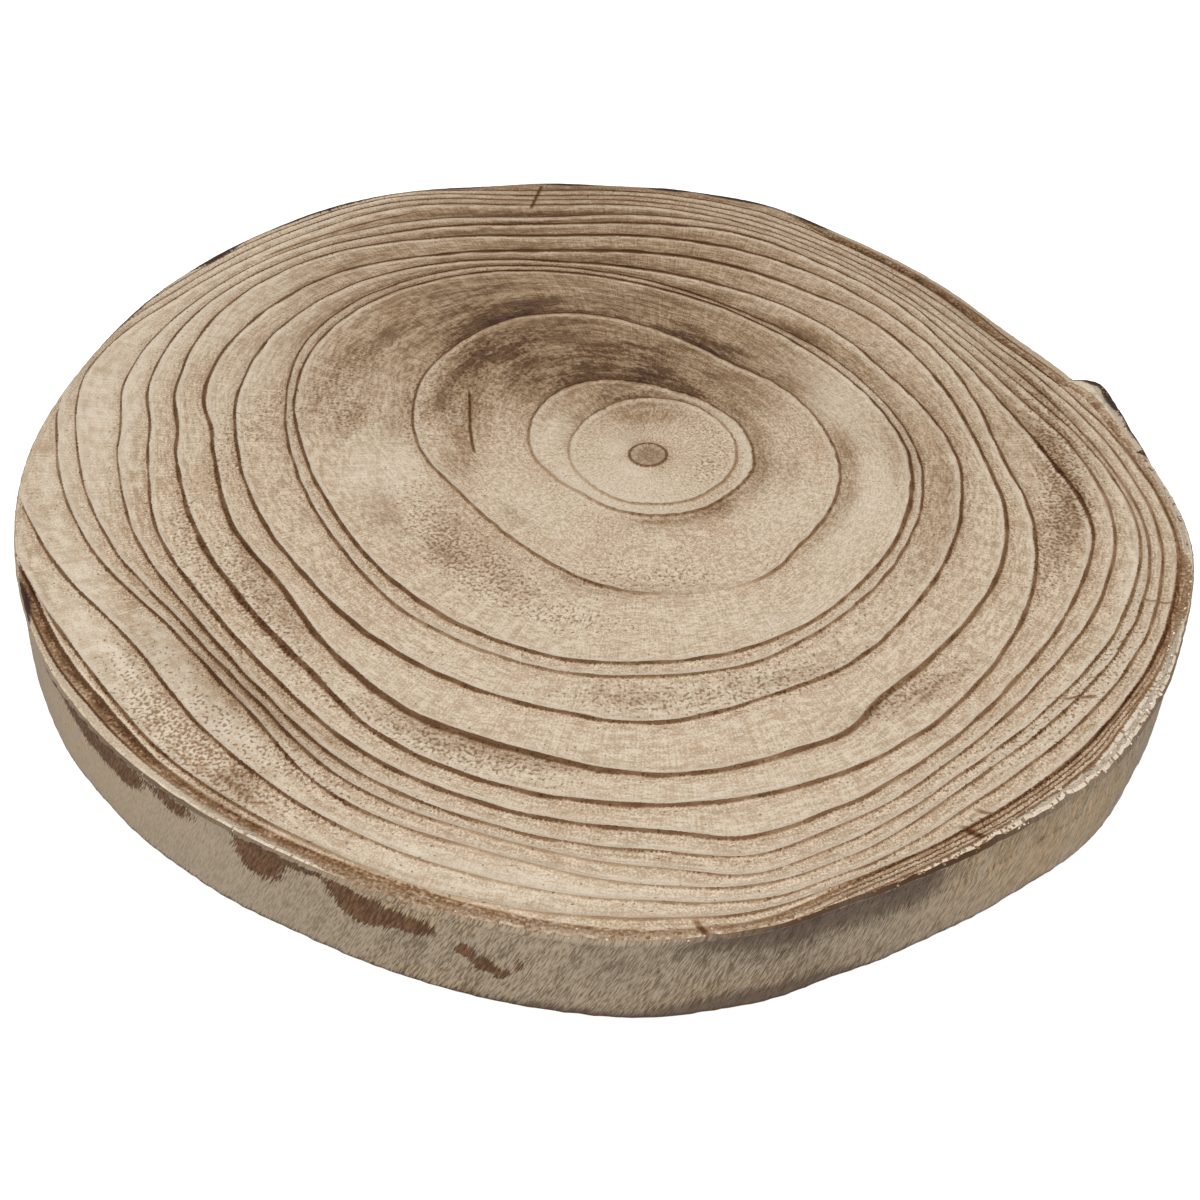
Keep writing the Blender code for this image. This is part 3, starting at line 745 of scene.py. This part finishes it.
def brushed_face_material(groups):
    material, wiring, shader = new_material("brushed_face", 0.85)
    grain = wiring.stored_vector("grain")
    place = wiring.place()
    rings = wiring.noise(wiring.scaled(grain, (330.0, 330.0, 1250.0)), 1.0, 2.0, 0.6)
    broad = wiring.noise(wiring.scaled(grain, (45.0, 45.0, 420.0)), 1.0, 1.0)
    hairs = wiring.noise(wiring.scaled(grain, (2500.0, 2500.0, 110.0)), 1.0, 1.0)
    cracks = wiring.noise(wiring.scaled(grain, (1100.0, 1100.0, 260.0)), 1.0, 0.0)
    specks = wiring.noise(place, 2000.0, 1.0, 0.6)
    pores = wiring.noise(place, 1200.0, 0.0)
    cloudy = wiring.noise(place, 55.0, 2.0, 0.55)
    inside = wiring.stored("inside")
    outside = wiring.stored("outside")
    ink = wiring.stored("ink")
    scorch = wiring.stored("scorch")

    tone = wiring.plus(wiring.times(rings, 0.45), wiring.plus(wiring.times(specks, 0.33), wiring.times(hairs, 0.22)))
    early = wiring.mix(wiring.step(tone, 0.37, 0.63), EARLY_WOOD, EARLY_DARK)
    clouded = wiring.plus(specks, wiring.times(wiring.math("SUBTRACT", cloudy, 0.5), 0.9))
    early = wiring.mix(wiring.times(wiring.step(clouded, 0.5, 0.72), 0.4), early, EARLY_BROWN)
    bleached = wiring.mix(wiring.step(tone, 0.4, 0.62), BLEACHED, EARLY_WOOD)
    colour = wiring.mix(wiring.times(wiring.stored("pale"), 0.8), early, bleached)
    beside = wiring.times(wiring.step(inside, 0.9, 2.2, 1.0, 0.0), wiring.times(ink, 0.4))
    colour = wiring.mix(beside, colour, BLEACHED)

    fuzz = wiring.plus(wiring.math("SUBTRACT", hairs, 0.5), wiring.math("SUBTRACT", specks, 0.5))
    opened = wiring.times(wiring.step(wiring.plus(outside, wiring.times(fuzz, 3.0)), 0.3, 4.5, 1.0, 0.0), ink)
    unscorched = wiring.step(scorch, 0.2, 0.7, 1.0, 0.3)
    amount = wiring.plus(wiring.stored("stipple"), wiring.times(opened, 0.25))
    dots = wiring.group(groups["dots"], {"Noise": pores, "Amount": amount})
    colour = wiring.mix(wiring.times(dots["Dark"], 0.72), colour, BARK_BROWN)
    colour = wiring.mix(wiring.times(wiring.times(dots["Light"], 0.7), unscorched), colour, BLEACHED)

    streak = wiring.plus(wiring.times(broad, 0.55), wiring.plus(wiring.times(rings, 0.35), wiring.times(hairs, 0.1)))
    burnt = wiring.times(scorch, wiring.step(streak, 0.36, 0.62, 0.6, 1.25))
    colour = wiring.mix(1.0, colour, wiring.ramp(burnt, SCORCHING), "MULTIPLY")

    share_in = wiring.math("DIVIDE", wiring.plus(inside, wiring.times(fuzz, 0.5)), wiring.stored("reach_in"))
    share_out = wiring.math("DIVIDE", wiring.plus(outside, wiring.times(fuzz, 0.8)), wiring.stored("reach_out"))
    line = wiring.step(wiring.math("MINIMUM", share_in, share_out), 0.5, 1.3, 1.0, 0.0)
    line = wiring.times(wiring.times(line, wiring.step(rings, 0.3, 0.6, 1.1, 0.8)), ink)
    halo = wiring.times(wiring.times(opened, 0.24), wiring.step(specks, 0.36, 0.6))
    mark = wiring.plus(wiring.math("ABSOLUTE", wiring.stored("mark")), wiring.times(fuzz, 0.8))
    mark = wiring.times(wiring.step(mark, 0.3, 1.3, 1.0, 0.0), wiring.stored("mark_ink"))
    late = wiring.math("MAXIMUM", wiring.math("MAXIMUM", line, halo), mark)
    colour = wiring.mix(1.0, colour, wiring.ramp(late, LATE_TINT), "MULTIPLY")

    past_outer = wiring.plus(wiring.stored("band_outer"), wiring.times(fuzz, 0.6))
    past_inner = wiring.math("SUBTRACT", wiring.times(fuzz, 0.6), wiring.stored("band_inner"))
    cream = wiring.times(wiring.step(past_outer, 0.0, 0.3, 1.0, 0.0), wiring.stored("cream"))
    colour = wiring.mix(wiring.times(cream, 0.75), colour, bleached)
    beyond = wiring.times(wiring.step(past_inner, 0.2, 0.4), wiring.step(past_inner, 0.8, 1.1, 1.0, 0.0))
    colour = wiring.mix(wiring.times(wiring.times(beyond, wiring.stored("inner_ink")), 0.5), colour, bleached)
    within = wiring.times(wiring.step(past_outer, 0.0, 0.3), wiring.step(past_inner, -0.1, 0.2, 1.0, 0.0))
    mottling = wiring.step(wiring.plus(wiring.times(pores, 0.5), wiring.times(rings, 0.5)), 0.36, 0.6, 0.55, 1.2)
    dark = wiring.times(wiring.times(wiring.times(within, wiring.stored("band_ink")), 0.66), mottling)
    dark = wiring.times(dark, wiring.step(past_inner, -2.4, -0.2, 0.62, 1.12))
    waves = wiring.math("SINE", wiring.plus(wiring.times(past_inner, 6.0), wiring.times(broad, 5.0)))
    waves = wiring.times(wiring.times(wiring.step(waves, 0.0, 0.8), within), wiring.stored("stripes"))
    outer_line = wiring.math("ABSOLUTE", wiring.math("SUBTRACT", past_outer, 0.2))
    outer_line = wiring.times(wiring.step(outer_line, 0.15, 0.45, 1.0, 0.0), wiring.stored("outer_ink"))
    inner_line = wiring.math("ABSOLUTE", wiring.plus(past_inner, 0.15))
    inner_line = wiring.times(wiring.step(inner_line, 0.3, 0.75, 1.0, 0.0), wiring.stored("inner_ink"))
    dark = wiring.math("MAXIMUM", dark, wiring.times(waves, 0.85))
    dark = wiring.math("MAXIMUM", dark, wiring.math("MAXIMUM", outer_line, inner_line))
    colour = wiring.mix(1.0, colour, wiring.ramp(dark, BARK_TINT), "MULTIPLY")

    cracked = wiring.times(wiring.step(cream, 0.5, 0.9), wiring.step(cracks, 0.6, 0.68))
    colour = wiring.mix(wiring.times(cracked, 0.85), colour, BARK_BROWN)
    edge = wiring.plus(wiring.stored("edge"), wiring.times(fuzz, 1.6))
    reach = wiring.stored("dark_rim")
    dark_rim = wiring.step(wiring.math("SUBTRACT", reach, edge), 0.0, 0.7)
    dark_rim = wiring.times(dark_rim, wiring.step(reach, 0.1, 0.5))
    colour = wiring.mix(wiring.times(dark_rim, 0.96), colour, BARK_DARK)

    wiring.feed(shader.inputs["Base Color"], colour)
    relief = wiring.plus(wiring.times(rings, 0.45), wiring.times(specks, 0.45))
    relief = wiring.math("SUBTRACT", relief, wiring.times(dots["Dark"], 0.4))
    relief = wiring.math("SUBTRACT", relief, wiring.times(cracked, 0.8))
    bump = wiring.add("ShaderNodeBump", {"Strength": 0.8, "Distance": 0.3 * MM, "Height": relief})
    wiring.feed(shader.inputs["Normal"], bump.outputs[0])
    return material


def wall_colour(wiring, groups, grain):
    """The stripped wood with its smoke, warm streaks and what is left of the inner bark."""
    fibres = wiring.noise(wiring.scaled(grain, (3300.0, 3300.0, 460.0)), 1.0, 1.0)
    broad = wiring.noise(wiring.scaled(grain, (260.0, 260.0, 50.0)), 1.0, 1.0)
    tone = wiring.plus(wiring.times(fibres, 0.78), wiring.times(broad, 0.22))
    warm = wiring.times(wiring.stored("pale"), wiring.step(broad, 0.35, 0.65, 0.3, 1.1))
    colour = wiring.mix(wiring.times(warm, 0.85), WALL_TAN, WALL_WARM_BROWN)
    strokes = wiring.times(wiring.step(tone, 0.38, 0.68), wiring.stored("strokes"))
    colour = wiring.mix(strokes, colour, WALL_GREY)
    smoke = wiring.stored("scorch")
    frayed = wiring.plus(smoke, wiring.times(wiring.math("SUBTRACT", tone, 0.5), 0.8))
    smoked = wiring.plus(wiring.times(smoke, 0.4), wiring.step(frayed, 0.42, 0.76, 0.0, 0.46))
    colour = wiring.mix(smoked, colour, WALL_SMOKED)
    bark = wiring.group(
        groups["patch"],
        {"Field": wiring.stored("inner_bark"), "Fray": tone, "Raggedness": 1.1, "Softness": 0.14},
    )["Mask"]
    bark_colour = wiring.mix(wiring.step(tone, 0.34, 0.66), BARK_RED, BARK_DEEP)
    colour = wiring.mix(bark, colour, bark_colour)
    return colour, fibres, broad


def stripped_wall_material(groups):
    material, wiring, shader = new_material("stripped_wall", 0.85)
    colour, fibres, broad = wall_colour(wiring, groups, wiring.stored_vector("grain"))
    # Painted shade: a dark line just under the rim, where the undercut lies in shade
    painted_undercut_shade = wiring.times(wiring.step(wiring.stored("drop"), 0.85, 1.25, 1.0, 0.0), wiring.stored("undercut_shade"))
    colour = wiring.mix(wiring.math("MULTIPLY", painted_undercut_shade, 0.95, clamp=True), colour, BARK_DEEP)
    foot = wiring.plus(wiring.stored("drop"), wiring.times(fibres, 3.0))
    colour = wiring.mix(wiring.step(foot, 24.4, 26.0, 0.0, 0.85), colour, BARK_DEEP)
    wiring.feed(shader.inputs["Base Color"], colour)
    relief = wiring.plus(wiring.times(fibres, 0.7), wiring.times(broad, 0.5))
    bump = wiring.add("ShaderNodeBump", {"Strength": 0.6, "Distance": 0.3 * MM, "Height": relief})
    wiring.feed(shader.inputs["Normal"], bump.outputs[0])
    return material


def sawn_base_material():
    material, wiring, shader = new_material("sawn_base", 0.85)
    place = wiring.place()
    rings = wiring.noise(wiring.scaled(wiring.stored_vector("grain"), (60.0, 60.0, 800.0)), 1.0, 2.0)
    specks = wiring.noise(place, 2400.0, 1.0)
    tone = wiring.plus(wiring.times(rings, 0.6), wiring.times(specks, 0.4))
    colour = wiring.mix(wiring.step(tone, 0.35, 0.7), EARLY_WOOD, EARLY_DARK)
    share_in = wiring.math("DIVIDE", wiring.stored("inside"), wiring.stored("reach_in"))
    share_out = wiring.math("DIVIDE", wiring.stored("outside"), wiring.stored("reach_out"))
    line = wiring.step(wiring.math("MINIMUM", share_in, share_out), 0.3, 1.6, 0.75, 0.0)
    colour = wiring.mix(wiring.times(line, wiring.stored("ink")), colour, LATE_WOOD)
    saw_marks = wiring.noise(wiring.scaled(place, (18.0, 640.0, 1.0)), 1.0, 2.0)
    colour = wiring.mix(wiring.times(wiring.step(saw_marks, 0.45, 0.7), 0.2), colour, EARLY_DARK)
    wiring.feed(shader.inputs["Base Color"], colour)
    relief = wiring.plus(saw_marks, wiring.times(specks, 0.3))
    bump = wiring.add("ShaderNodeBump", {"Strength": 0.5, "Distance": 0.3 * MM, "Height": relief})
    wiring.feed(shader.inputs["Normal"], bump.outputs[0])
    return material


def loose_fibre_material(groups):
    material, wiring, shader = new_material("loose_fibre", 0.85)
    colour, fibres, broad = wall_colour(wiring, groups, wiring.stored_vector("grain"))
    colour = wiring.mix(wiring.step(wiring.stored("tone"), 0.0, 1.0, 0.0, 0.25), colour, WALL_TAN)
    wiring.feed(shader.inputs["Base Color"], colour)
    return material


def make_slice(materials):
    loops = face_loops()
    zones = loops_by_zone(loops)
    face_count = len(loops)
    base_count = len(YEARS) + 1
    rest = zones.pop() + len(WALL_PROFILE) - 1 + base_count
    pattern = [(zones[0] - 1, False)]
    pattern += [(count, True) for count in zones[1:]]
    pattern += [(rest // 2, True), (rest - rest // 2, False)]
    piece = model_blank(pattern)
    piece.name = "brushed_slice"
    mesh = piece.data
    count = len(mesh.vertices)
    flat = np.empty(count * 3, np.float32)
    mesh.vertices.foreach_get("co", flat)
    flat = flat.reshape(-1, 3).astype(float)
    ring = np.rint(np.hypot(flat[:, 0], flat[:, 1]) / MM).astype(int) - 1
    angle = np.arctan2(flat[:, 1], flat[:, 0])
    at_back = (ring < 0) & (flat[:, 2] < -0.5 * MM)
    on_face = (ring < face_count) & ~at_back
    wall_place = np.clip(ring - face_count, 0, len(WALL_PROFILE) - 1)
    on_wall = (ring >= face_count) & (ring < face_count + len(WALL_PROFILE))
    on_base = (ring >= face_count + len(WALL_PROFILE)) | at_back

    radius = np.zeros(count)
    height = np.zeros(count)
    radius_face, height_face = place_face(angle[on_face], ring[on_face], loops)
    radius[on_face] = radius_face
    height[on_face] = THICKNESS + height_face
    radius[on_wall], height[on_wall] = place_wall(angle[on_wall], wall_place[on_wall])
    year = len(YEARS) - 1 - (ring - face_count - len(WALL_PROFILE))
    last_wall = np.full(count, len(WALL_PROFILE) - 1)
    foot_radius, foot_height = place_wall(angle, last_wall)
    for number in range(-1, len(YEARS)):
        here = on_base & ~at_back & (year == number)
        line = year_line(number, angle[here]) if number >= 0 else PITH_RADIUS * 0.6 + 0 * angle[here]
        radius[here] = np.minimum(line, foot_radius[here] - 0.4 * MM * (len(YEARS) - number))
    place = np.stack((PITH[0] + radius * np.cos(angle), PITH[1] + radius * np.sin(angle), height), axis=1)
    place[at_back] = (PITH[0], PITH[1], 0)
    place[(ring < 0) & ~at_back] = (PITH[0], PITH[1], THICKNESS)
    mesh.vertices.foreach_set("co", place.astype(np.float32).ravel())

    drop = np.where(on_face, 0, THICKNESS - height)
    loop_means = np.zeros(ring.max() + 2)
    for number in range(ring.max() + 1):
        loop_means[number] = radius[ring == number].mean()
    record_face(mesh, angle, radius, np.where(on_wall, drop, 0))
    record_grain(mesh, angle, ring, drop, loop_means, on_wall)

    for material in materials:
        mesh.materials.append(material)
    corners = np.empty(len(mesh.loops), int)
    mesh.loops.foreach_get("vertex_index", corners)
    starts = np.empty(len(mesh.polygons), int)
    mesh.polygons.foreach_get("loop_start", starts)
    farthest = np.maximum.reduceat(np.where(at_back, 10**6, ring)[corners], starts)
    slots = np.where(farthest < face_count + 2, 0, np.where(farthest < face_count + len(WALL_PROFILE), 1, 2))
    mesh.polygons.foreach_set("material_index", slots.astype(np.int32))
    mesh.update()
    bpy.ops.object.select_all(action="DESELECT")
    piece.select_set(True)
    bpy.context.view_layer.objects.active = piece
    bpy.ops.object.mode_set(mode="EDIT")
    bpy.ops.mesh.select_all(action="SELECT")
    bpy.ops.mesh.normals_make_consistent(inside=False)
    bpy.ops.object.mode_set(mode="OBJECT")
    bpy.ops.object.shade_smooth_by_angle(angle=radians(50))
    return piece


def model_fibre():
    """One loose fibre: a slim three-sided spike, one long, bowed away from the wall in the middle."""
    bpy.ops.object.select_all(action="DESELECT")
    bpy.ops.mesh.primitive_cone_add(vertices=3, radius1=0.5, radius2=0.3, depth=0.5, location=(0, 0, 0.25))
    fibre = bpy.context.object
    bpy.ops.object.transform_apply(location=True, rotation=True, scale=True)
    bpy.ops.object.mode_set(mode="EDIT")
    bpy.ops.mesh.select_mode(type="FACE")
    mesh = bmesh.from_edit_mesh(fibre.data)
    for face in mesh.faces:
        face.select = face.normal.z > 0.9
    bmesh.update_edit_mesh(fibre.data)
    bpy.ops.mesh.extrude_region()
    bpy.ops.transform.translate(value=(0, 0.45, 0.5))
    bpy.ops.mesh.merge(type="CENTER")
    bpy.ops.object.mode_set(mode="OBJECT")
    return fibre


def stamp(name, model, frames, stored, material):
    """One mesh with a copy of the model in each frame: an origin and three axes that carry its size."""
    points = np.array([vertex.co for vertex in model.data.vertices])
    faces = [tuple(polygon.vertices) for polygon in model.data.polygons]
    origins, axes = frames
    placed = origins[:, None, :] + np.einsum("pk,nkj->npj", points, axes)
    sides = np.array([len(face) for face in faces])
    corners = np.concatenate([np.array(face) for face in faces])
    copies = len(origins)
    mesh = bpy.data.meshes.new(name)
    mesh.vertices.add(copies * len(points))
    mesh.vertices.foreach_set("co", placed.astype(np.float32).ravel())
    mesh.loops.add(copies * len(corners))
    mesh.loops.foreach_set(
        "vertex_index", (corners[None, :] + np.arange(copies)[:, None] * len(points)).astype(np.int32).ravel()
    )
    mesh.polygons.add(copies * len(faces))
    starts = np.concatenate(([0], np.cumsum(sides)[:-1]))
    mesh.polygons.foreach_set(
        "loop_start", (starts[None, :] + np.arange(copies)[:, None] * len(corners)).astype(np.int32).ravel()
    )
    mesh.update(calc_edges=True)
    mesh.validate()
    for key, values in stored.items():
        keep(mesh, key, np.repeat(values, len(points), axis=0))
    mesh.materials.append(material)
    piece = bpy.data.objects.new(name, mesh)
    bpy.context.scene.collection.objects.link(piece)
    bpy.data.objects.remove(model)
    return piece


def make_fibres(material):
    """Short fibres that the stripping left standing on the wall, leaning the way that the trunk twists."""
    random = np.random.default_rng(5)
    count = 11000
    angle = np.radians(np.where(random.uniform(0, 1, count) < 0.62, random.normal(276, 26, count),
                                random.uniform(0, 360, count))) % (2 * pi)
    drop = random.uniform(1.8, 24.2, count) * MM
    radius = wall_radius(angle, drop) - 0.14 * MM
    outwards = np.stack((np.cos(angle), np.sin(angle), 0 * angle), axis=1)
    sideways = np.stack((-np.sin(angle), np.cos(angle), 0 * angle), axis=1)
    fuzzy = 0.3 + 0.7 * np.maximum(hump(angle, 272, 40), 0.6 * hump(angle, 310, 40))
    length = random.uniform(1.0, 3.2, count) * MM * (0.6 + 0.5 * fuzzy)
    length = np.minimum(length, drop - 1.2 * MM)
    slant = np.radians(random.normal(22, 8, count)) * (0.4 + 0.8 * fuzzy)
    along = np.sin(slant)[:, None] * sideways + np.cos(slant)[:, None] * np.array((0, 0, 1))
    lift = random.uniform(0.0, 0.04, count) * (0.4 + fuzzy)
    along = along + lift[:, None] * outwards
    width = random.uniform(0.09, 0.2, count) * MM
    across = np.cross(along, outwards)
    across = across / np.linalg.norm(across, axis=1)[:, None]
    axes = np.stack((across * width[:, None], outwards * width[:, None], along * length[:, None]), axis=1)
    origins = np.stack(
        (PITH[0] + radius * np.cos(angle), PITH[1] + radius * np.sin(angle), THICKNESS - drop), axis=1
    )
    turned = angle + 0.003 * (drop / MM)
    stored = {
        "grain": np.stack((150 * MM * np.cos(turned), 150 * MM * np.sin(turned), drop + 0.4), axis=1),
        "tone": random.uniform(0, 1, count),
        "scorch": clouds(WALL_SMOKE, angle, drop, MM),
        "pale": clouds(WALL_WARM, angle, drop, MM),
        "inner_bark": clouds(INNER_BARK, angle, drop, MM),
        "strokes": between_rows(WALL_STROKES, angle),
    }
    return stamp("wall_fibres", model_fibre(), (origins, axes), stored, material)


def crumb_material():
    material, wiring, shader = new_material("splintered_edge", 0.9)
    specks = wiring.noise(wiring.place(), 1500.0, 1.0)
    tone = wiring.plus(wiring.stored("tone"), wiring.times(wiring.math("SUBTRACT", specks, 0.5), 0.6))
    colour = wiring.mix(wiring.step(tone, 0.15, 0.5), BARK_BROWN, EARLY_WOOD)
    wiring.feed(shader.inputs["Base Color"], wiring.mix(wiring.step(tone, 0.4, 0.8), colour, SPLINTER))
    return material


def model_crumb():
    """One crumb of splintered wood, about one across, lopsided and with sharp edges."""
    bpy.ops.object.select_all(action="DESELECT")
    bpy.ops.mesh.primitive_ico_sphere_add(subdivisions=1, radius=0.5)
    crumb = bpy.context.object
    bpy.ops.object.mode_set(mode="EDIT")
    bpy.ops.mesh.select_all(action="SELECT")
    bpy.ops.transform.vertex_random(offset=0.16, seed=3)
    bpy.ops.object.mode_set(mode="OBJECT")
    return crumb


def make_crumbs(material):
    """Crumbs of wood along the rim, where the edge splintered as the bark came off."""
    random = np.random.default_rng(9)
    direction, across, tone = [], [], []
    for first, last, count, inner, darkest, lightest in CRUMBS:
        direction.append(random.uniform(first, last, count))
        across.append(random.uniform(0.15, inner, count))
        tone.append(random.uniform(darkest, lightest, count))
    angle = np.radians(np.concatenate(direction))
    across = np.concatenate(across) * MM
    count = len(angle)
    radius = rim_line(angle) - across
    sunk = np.interp(across, (0, RIM_BEVEL[0]), (RIM_BEVEL[1], 0))
    height = THICKNESS - sunk - 0.05 * MM
    outwards = np.stack((np.cos(angle), np.sin(angle), 0 * angle), axis=1)
    sideways = np.stack((-np.sin(angle), np.cos(angle), 0 * angle), axis=1)
    upwards = np.tile(np.array((0.0, 0.0, 1.0)), (count, 1))
    turn = random.uniform(-0.7, 0.7, count)[:, None]
    tilt = random.uniform(-0.35, 0.35, count)[:, None]
    along = np.cos(turn) * sideways + np.sin(turn) * outwards
    cross = np.cos(turn) * outwards - np.sin(turn) * sideways + tilt * upwards
    size = random.uniform(0.4, 0.9, count)[:, None] * MM
    long = random.uniform(1.0, 2.0, count)[:, None]
    axes = np.stack((along * size * long, cross * size * 0.8, (upwards - tilt * cross) * size * 0.6), axis=1)
    origins = np.stack((PITH[0] + radius * np.cos(angle), PITH[1] + radius * np.sin(angle), height), axis=1)
    return stamp("rim_crumbs", model_crumb(), (origins, axes), {"tone": np.concatenate(tone)}, material)


def make_floor():
    bpy.ops.object.select_all(action="DESELECT")
    bpy.ops.mesh.primitive_plane_add(size=8, location=(0, 0, 0))
    floor = bpy.context.object
    floor.name = "floor"
    material, wiring, shader = new_material("pale_floor", 0.9)
    shader.inputs["Base Color"].default_value = (0.92, 0.92, 0.92, 1)
    floor.data.materials.append(material)


def make_light():
    world = bpy.data.worlds.new("studio")
    world.use_nodes = True
    background = world.node_tree.nodes["Background"]
    background.inputs["Color"].default_value = (1, 1, 1, 1)
    background.inputs["Strength"].default_value = 1.0
    world.cycles.sampling_method = "NONE"
    bpy.context.scene.world = world
    for name, place, size, power in (
        ("key", (-0.08, -0.98, 1.15), 0.8, 20),
    ):
        light = bpy.data.lights.new(name, "AREA")
        light.size = size
        light.energy = power
        lamp = bpy.data.objects.new(name, light)
        lamp.location = place
        towards = np.array((0, 0, 0)) - np.array(place)
        lamp.rotation_euler = Vector(towards).to_track_quat("-Z", "Y").to_euler()
        bpy.context.scene.collection.objects.link(lamp)


def make_camera():
    data = bpy.data.cameras.new("camera")
    data.lens = 50
    data.sensor_width = 36
    camera = bpy.data.objects.new("camera", data)
    camera.location = (2.6 * MM, -349.0 * MM, 292.0 * MM)
    camera.rotation_euler = (radians(90 - 42), 0, 0)
    bpy.context.scene.collection.objects.link(camera)
    bpy.context.scene.camera = camera


groups = {"dots": dots_group(), "patch": ragged_patch_group()}
slice_piece = make_slice((brushed_face_material(groups), stripped_wall_material(groups), sawn_base_material()))
fibres_piece = make_fibres(loose_fibre_material(groups))
crumbs_piece = make_crumbs(crumb_material())
for piece in (slice_piece, fibres_piece, crumbs_piece):
    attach(piece, "root")
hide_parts("wood_slice")
make_floor()
make_light()
make_camera()
bpy.context.scene.view_settings.view_transform = "Standard"
bpy.context.scene.cycles.max_bounces = 2

print("triangles", {o.name: sum(len(p.vertices) - 2 for p in o.data.polygons) for o in (slice_piece, fibres_piece, crumbs_piece)})
